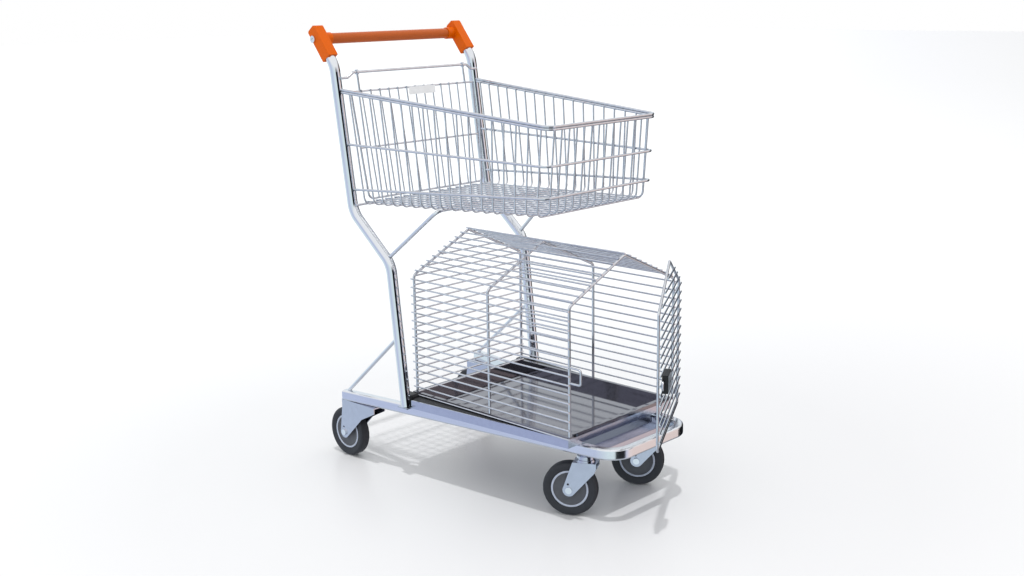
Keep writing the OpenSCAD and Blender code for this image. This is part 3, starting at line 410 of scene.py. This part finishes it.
class CART_OT_finishes(bpy.types.Operator):
    """The materials of every piece"""
    bl_idname = "cart.finishes"
    bl_label = "Finishes"

    def execute(self, context):
        finish = context.scene.cart_finishes
        self.metals(finish)
        self.plastics(finish)
        return {"FINISHED"}

    def metals(self, finish):
        # name, plating, share of light in its dullest spots, grain in millimetres, its stretch
        # and detail, roughness, and depth of the ripple in millimetres
        for name, tint, dark, size, stretch, detail, rough, depth in (
                # polished tube: a clear mirror, with a draw line's faint ripple
                ("chromed steel tube", finish.chrome, 0.96, 30, (1, 1, 0.3), 2.0,
                 (0.04, 0.07), 0.004),
                # rail brushed before plating: soft, wide reflections without a sharp edge
                ("satin chromed rail", finish.chrome, 0.96, 60, (1, 12, 12), 3.0,
                 (0.13, 0.17), 0.0),
                # wire drawn and spot-welded: a mirror that the die has dulled a little
                ("bright plated wire", finish.wire, 0.86, 9, (1, 1, 1), 3.0,
                 (0.06, 0.1), 0.004),
                # zinc on pressed steel: a soft mirror with a cloudy bloom
                ("zinc-plated pressed steel", finish.zinc, 0.93, 14, (1, 1, 1), 5.0,
                 (0.14, 0.2), 0.003),
                # polished sheet: long reflections, drawn out along the polishing lines
                ("polished stainless sheet", finish.sheet, 0.9, 120, (1, 60, 60), 4.0,
                 (0.05, 0.09), 0.0015)):
            _, tree = new_material(name)
            mottle = grain(tree, size * MM, stretch, detail)
            surface(tree, {"Base Color": shade(tree, mottle, faded(tint, dark), tint),
                           "Metallic": 1.0, "Roughness": between(tree, mottle, *rough)},
                    mottle if depth else None, depth * MM)

    def plastics(self, finish):
        # name, lightest colour, share of light in its darkest spots, grain, roughness, depth
        # of the grain, and the strength of the shine, which is low on the dyed plastics
        for name, tint, dark, size, rough, depth, shine in (
                # moulded ABS: bright, with a satin skin that spreads its highlights
                ("moulded orange ABS", finish.bracket, 0.9, 2.5, (0.28, 0.36), 0.03, 0.12),
                # extruded PVC sleeve: satin and slightly soft
                ("extruded PVC sleeve", finish.grip, 0.9, 4, (0.3, 0.38), 0.03, 0.3),
                # moulded polyamide: black, matt and finely pitted
                ("moulded black polyamide", finish.black, 0.7, 1.8, (0.38, 0.5), 0.05, 0.4),
                # blank PVC plate: white and smooth
                ("white PVC plate", finish.label, 0.96, 25, (0.3, 0.38), 0.01, 0.5),
                # painted steel cover: grey, satin, slightly orange-peeled
                ("painted steel cover", finish.cover, 0.9, 3, (0.3, 0.4), 0.04, 0.5),
                # moulded polypropylene: dull grey with flow clouds
                ("moulded grey polypropylene", finish.hub, 0.85, 12, (0.42, 0.5), 0.04, 0.4),
                # moulded polypropylene ring: paler, rubbed smoother
                ("pale polypropylene ring", finish.ring, 0.92, 6, (0.3, 0.36), 0.02, 0.5),
                # cast rubber: dark grey, matt, with a dusty bloom
                ("grey cast rubber", finish.tyre, 0.72, 10, (0.5, 0.64), 0.08, 0.4)):
            _, tree = new_material(name)
            speck = grain(tree, size * MM, detail=4.0)
            surface(tree, {"Base Color": shade(tree, speck, faded(tint, dark), tint),
                           "Roughness": between(tree, speck, *rough), "IOR": 1.5,
                           "Specular IOR Level": shine},
                    speck, depth * MM)


# ---------------------------------------------------------------- pieces

class CART_OT_tubes(bpy.types.Operator):
    """Chromed tubes and rods of the frame"""
    bl_idname = "cart.tubes"
    bl_label = "Tubes"

    def execute(self, context):
        dress("base_frame", "satin chromed rail")
        for node in ("right_upright", "left_upright", "handle_core",
                     "rear_struts", "basket_support_rod", "bracket_bolts"):
            dress(node, "chromed steel tube")
        return {"FINISHED"}


class CART_OT_wires(bpy.types.Operator):
    """Plated wires of the basket, flap, cage and door"""
    bl_idname = "cart.wires"
    bl_label = "Wires"

    def execute(self, context):
        for node in frame["nodes"]:
            if node.startswith(("basket_", "flap_", "cage_", "door_")) \
                    and node != "basket_support_rod":
                dress(node, "bright plated wire")
        dress("strike_loop", "bright plated wire")
        dress("latch_bolt", "bright plated wire")
        return {"FINISHED"}


class CART_OT_plates(bpy.types.Operator):
    """Plated steel plates, forks, bolts and the tray"""
    bl_idname = "cart.plates"
    bl_label = "Plates and forks"

    def execute(self, context):
        sizes = context.scene.cart_sizes
        for node in ("rear_forks", "front_right_fork", "front_left_fork"):
            softened(node, node + "_pressed", sizes.plate_edge,
                     "zinc-plated pressed steel")
        for node in ("front_cross_plate", "front_cross_member", "tray_bearers",
                     "kingpins", "strip_pins"):
            dress(node, "zinc-plated pressed steel")
        for node in ("rear_axle_bolts", "front_right_axle_bolt", "front_left_axle_bolt"):
            dress(node, "chromed steel tube")
        dress("tray", "polished stainless sheet")
        return {"FINISHED"}


class CART_OT_handle(bpy.types.Operator):
    """Brackets and the sleeve of the handle bar"""
    bl_idname = "cart.handle"
    bl_label = "Handle"

    def execute(self, context):
        sizes = context.scene.cart_sizes
        for side in ("right", "left"):
            softened(side + "_handle_bracket", side + "_bracket_moulding",
                     sizes.bracket_edge, "moulded orange ABS")
        low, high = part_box("handle_grip")
        centre, radius, half = (low + high) / 2, (high.z - low.z) / 2, (high.y - low.y) / 2
        core_low, core_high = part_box("handle_core")
        core = (core_high.z - core_low.z) / 2
        lip = 1.6 * MM
        profile = [(core, -half, 0), (radius - lip, -half, 0)]
        for i in range(1, 7):
            angle = math.pi / 2 * i / 6
            profile.append((radius - lip + lip * math.sin(angle),
                            -half + lip * (1 - math.cos(angle)), 0))
        profile += [(radius, along * half, 0) for along in (-0.6, -0.2, 0.2, 0.6)]
        for i in range(7):
            angle = math.pi / 2 * (1 - i / 6)
            profile.append((radius - lip + lip * math.sin(angle),
                            half - lip * (1 - math.cos(angle)), 0))
        profile += [(core, half, 0)]
        turned("handle_sleeve", profile, centre, (0, 1, 0), sizes.turned_steps,
               ["extruded PVC sleeve"], body_of("handle_grip"), ["handle_grip"])
        return {"FINISHED"}


class CART_OT_mouldings(bpy.types.Operator):
    """Black side strips, the latch's case and cover, and the label plate"""
    bl_idname = "cart.mouldings"
    bl_label = "Mouldings"

    def execute(self, context):
        edge = context.scene.cart_sizes.plastic_edge
        softened("tray_side_strips", "side_strip_mouldings", edge,
                 "moulded black polyamide")
        softened("latch_housing", "latch_case", edge,
                 "moulded black polyamide")
        softened("latch_plate", "latch_cover", edge / 2,
                 "painted steel cover")
        softened("label_plate", "blank_label", edge / 2, "white PVC plate")
        return {"FINISHED"}


class CART_OT_wheels(bpy.types.Operator):
    """Hubs with a pale ring, and tyres with rounded shoulders"""
    bl_idname = "cart.wheels"
    bl_label = "Wheels"

    def execute(self, context):
        sizes = context.scene.cart_sizes
        for wheel in WHEELS:
            joint = next(j for j in frame["joints"] if j["name"] == wheel + "_wheel_spin")
            low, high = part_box(wheel + "_tyre")
            centre, radius = (low + high) / 2, (high.z - low.z) / 2
            hub_low, hub_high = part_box(wheel + "_hub")
            rim = (hub_high.z - hub_low.z) / 2
            axis = Vector(joint["axis"]).normalized()
            self.tyre(wheel, centre, axis, radius, rim, sizes)
            self.hub(wheel, centre, axis, rim, sizes)
        return {"FINISHED"}

    def tyre(self, wheel, centre, axis, radius, rim, sizes):
        half, round_r = TYRE_HALF, sizes.tyre_shoulder
        flank = half - 2.5 * MM
        profile = [(rim, -flank + 1 * MM, 0), (rim + 2 * MM, -flank, 0)]
        for side in (-1, 1):
            arc = []
            for i in range(9):
                angle = math.pi / 2 * i / 8
                arc.append((radius - round_r + round_r * math.sin(angle),
                            side * (half - round_r + round_r * math.cos(angle)), 0))
            profile += arc if side < 0 else arc[::-1]
        profile += [(rim + 2 * MM, flank, 0), (rim, flank - 1 * MM, 0)]
        turned(wheel + "_rubber", profile, centre, axis, sizes.turned_steps,
               ["grey cast rubber"], wheel + "_wheel", [wheel + "_tyre"])

    def hub(self, wheel, centre, axis, rim, sizes):
        bore, boss, boss_half = 4 * MM, 15.7 * MM, 15 * MM
        ring_in = rim - sizes.ring_width
        face = TYRE_HALF - sizes.hub_recess
        half_side = [(bore, boss_half, 0), (boss - 1.2 * MM, boss_half, 0),
                     (boss, boss_half - 1.2 * MM, 0), (boss + 1.5 * MM, face - 1.5 * MM, 0),
                     (boss + 5 * MM, face - 2.2 * MM, 0), (ring_in - 2 * MM, face - 1.2 * MM, 0),
                     (ring_in, face + 0.2 * MM, 1), (ring_in + 0.6 * MM, face + 1.2 * MM, 1),
                     (rim - 0.6 * MM, face + 1.2 * MM, 1), (rim, face + 0.4 * MM, 0)]
        other = [(r, -along, 0) for r, along, _ in half_side][::-1]
        # a face takes the finish of its first point, so the far side's ring starts one point on
        for i in (1, 2, 0):
            other[i] = (*other[i][:2], 1)
        turned(wheel + "_hub_moulding", half_side + other, centre, axis, sizes.turned_steps,
               ["moulded grey polypropylene", "pale polypropylene ring"],
               wheel + "_wheel", [wheel + "_hub"])


class CART_OT_welds(bpy.types.Operator):
    """Spot welds' beads where the straight wires cross the frames"""
    bl_idname = "cart.welds"
    bl_label = "Spot welds"

    arches = ("cage_rear_arch", "cage_middle_arch", "cage_front_arch")
    # straight wires, and what they are welded to
    crossings = (
        ("cage_right_wires", arches),
        ("cage_left_wires", arches),
        ("cage_roof_wires", arches),
        ("cage_rear_wires", ("cage_rear_arch",)),
        ("basket_floor_long_wires", ("basket_floor_cross_wires",)),
        ("door_wires", ("door_frame",)),
        ("flap_wires", ("flap_frame",)))

    def execute(self, context):
        radius = context.scene.cart_sizes.weld_bead
        tree = self.tree()
        points = {}
        for wires, others in self.crossings:
            found = points.setdefault(body_of(wires), [])
            for other in others:
                found += self.contacts(wires, other)
        for body, found in points.items():
            if not found:
                raise RuntimeError("no crossing was found on " + body)
            self.beads(context, tree, body, found, radius)
        return {"FINISHED"}

    def rods(self, node):
        """Each straight wire of a node as its two ends and its radius."""
        bm = bmesh.new()
        bm.from_mesh(frame["nodes"][node].data)
        bmesh.ops.remove_doubles(bm, verts=bm.verts, dist=1e-6)
        bm.verts.index_update()
        seen, found = set(), []
        for start in bm.verts:
            if start in seen:
                continue
            group, edge = {start}, [start]
            while edge:
                near = {e.other_vert(v) for v in edge for e in v.link_edges} - group
                group |= near
                edge = list(near)
            seen |= group
            points = [v.co.copy() for v in sorted(group, key=lambda v: v.index)]
            far = max(points, key=lambda p: (p - points[0]).length)
            near_end = [p for p in points if (p - far).length < (p - points[0]).length]
            rest = [p for p in points if (p - far).length >= (p - points[0]).length]
            a = sum(near_end, Vector()) / len(near_end)
            b = sum(rest, Vector()) / len(rest)
            found.append((a, b, (near_end[0] - a).length))
        bm.free()
        return found

    def contacts(self, wires, other):
        mesh = frame["nodes"][other].data
        mesh.calc_loop_triangles()
        bvh = BVHTree.FromPolygons([v.co for v in mesh.vertices],
                                   [tuple(t.vertices) for t in mesh.loop_triangles])
        step, found = 2 * MM, []
        for a, b, radius in self.rods(wires):
            count = max(2, int((b - a).length / step))
            row = []
            for i in range(count + 1):
                p = a.lerp(b, i / count)
                q, _, _, gap = bvh.find_nearest(p)
                row.append((gap, p, q))
            for i, (gap, p, q) in enumerate(row):
                before = row[i - 1][0] if i else 1.0
                after = row[i + 1][0] if i < count else 1.0
                if gap < radius + 0.3 * MM and gap <= before and gap < after:
                    found.append(p.lerp(q, 0.7))
        return found

    def tree(self):
        """Geometry nodes that put a bead on every point."""
        tree = bpy.data.node_groups.new("weld beads", "GeometryNodeTree")
        face = tree.interface
        face.new_socket("Geometry", in_out="INPUT", socket_type="NodeSocketGeometry")
        face.new_socket("Bead radius", in_out="INPUT", socket_type="NodeSocketFloat")
        face.new_socket("Plating", in_out="INPUT", socket_type="NodeSocketMaterial")
        face.new_socket("Geometry", in_out="OUTPUT", socket_type="NodeSocketGeometry")
        given = add_node(tree, "NodeGroupInput")
        bead = add_node(tree, "GeometryNodeMeshIcoSphere", {
            "Radius": given.outputs["Bead radius"], "Subdivisions": 2})
        points = add_node(tree, "GeometryNodeMeshToPoints", {
            "Mesh": given.outputs["Geometry"]})
        put = add_node(tree, "GeometryNodeInstanceOnPoints", {
            "Points": points.outputs[0], "Instance": bead.outputs[0]})
        real = add_node(tree, "GeometryNodeRealizeInstances", {0: put.outputs[0]})
        plated = add_node(tree, "GeometryNodeSetMaterial", {
            "Geometry": real.outputs[0], "Material": given.outputs["Plating"]})
        add_node(tree, "NodeGroupOutput", {0: plated.outputs[0]})
        return tree

    def beads(self, context, tree, body, found, radius):
        name = body + "_weld_beads"
        seed = bpy.data.meshes.new(name + "_places")
        seed.from_pydata([tuple(p) for p in found], [], [])
        holder = bpy.data.objects.new(name + "_places", seed)
        context.scene.collection.objects.link(holder)
        modifier = holder.modifiers.new("beads", "NODES")
        modifier.node_group = tree
        values = {"Bead radius": radius, "Plating": bpy.data.materials["bright plated wire"]}
        for item in tree.interface.items_tree:
            if item.in_out == "INPUT" and item.name in values:
                modifier[item.identifier] = values[item.name]
        context.view_layer.update()
        ready = holder.evaluated_get(context.evaluated_depsgraph_get())
        mesh = bpy.data.meshes.new_from_object(ready)
        mesh.name = name
        mesh.materials.clear()
        bpy.data.objects.remove(holder)
        mesh.polygons.foreach_set("use_smooth", [True] * len(mesh.polygons))
        new_piece(name, mesh, body, [], ["bright plated wire"])


class CART_PT_panel(bpy.types.Panel):
    """Everything that makes the cart's looks"""
    bl_idname = "CART_PT_panel"
    bl_label = "Shopping cart"
    bl_space_type = "VIEW_3D"
    bl_region_type = "UI"
    bl_category = "Cart"

    def draw(self, context):
        for group in ("cart_studio", "cart_finishes", "cart_sizes"):
            box = self.layout.box()
            values = getattr(context.scene, group)
            for name in values.bl_rna.properties.keys():
                if name not in ("rna_type", "name"):
                    box.prop(values, name)
        for operator in OPERATORS:
            self.layout.operator(operator.bl_idname)


OPERATORS = (CART_OT_stage, CART_OT_finishes, CART_OT_tubes, CART_OT_wires,
             CART_OT_plates, CART_OT_handle, CART_OT_mouldings, CART_OT_wheels,
             CART_OT_welds)
GROUPS = (("cart_finishes", CartFinishes), ("cart_sizes", CartSizes),
          ("cart_studio", CartStudio))


def register():
    for name, group in GROUPS:
        bpy.utils.register_class(group)
        setattr(bpy.types.Scene, name, PointerProperty(type=group))
    for cls in (*OPERATORS, CART_PT_panel):
        bpy.utils.register_class(cls)


def unregister():
    for cls in (*OPERATORS, CART_PT_panel):
        bpy.utils.unregister_class(cls)
    for name, group in GROUPS:
        delattr(bpy.types.Scene, name)
        bpy.utils.unregister_class(group)


def main():
    register()
    for operator in OPERATORS:
        area, name = operator.bl_idname.split(".")
        getattr(getattr(bpy.ops, area), name)()
    bpy.context.view_layer.update()


if __name__ == "__main__":
    main()
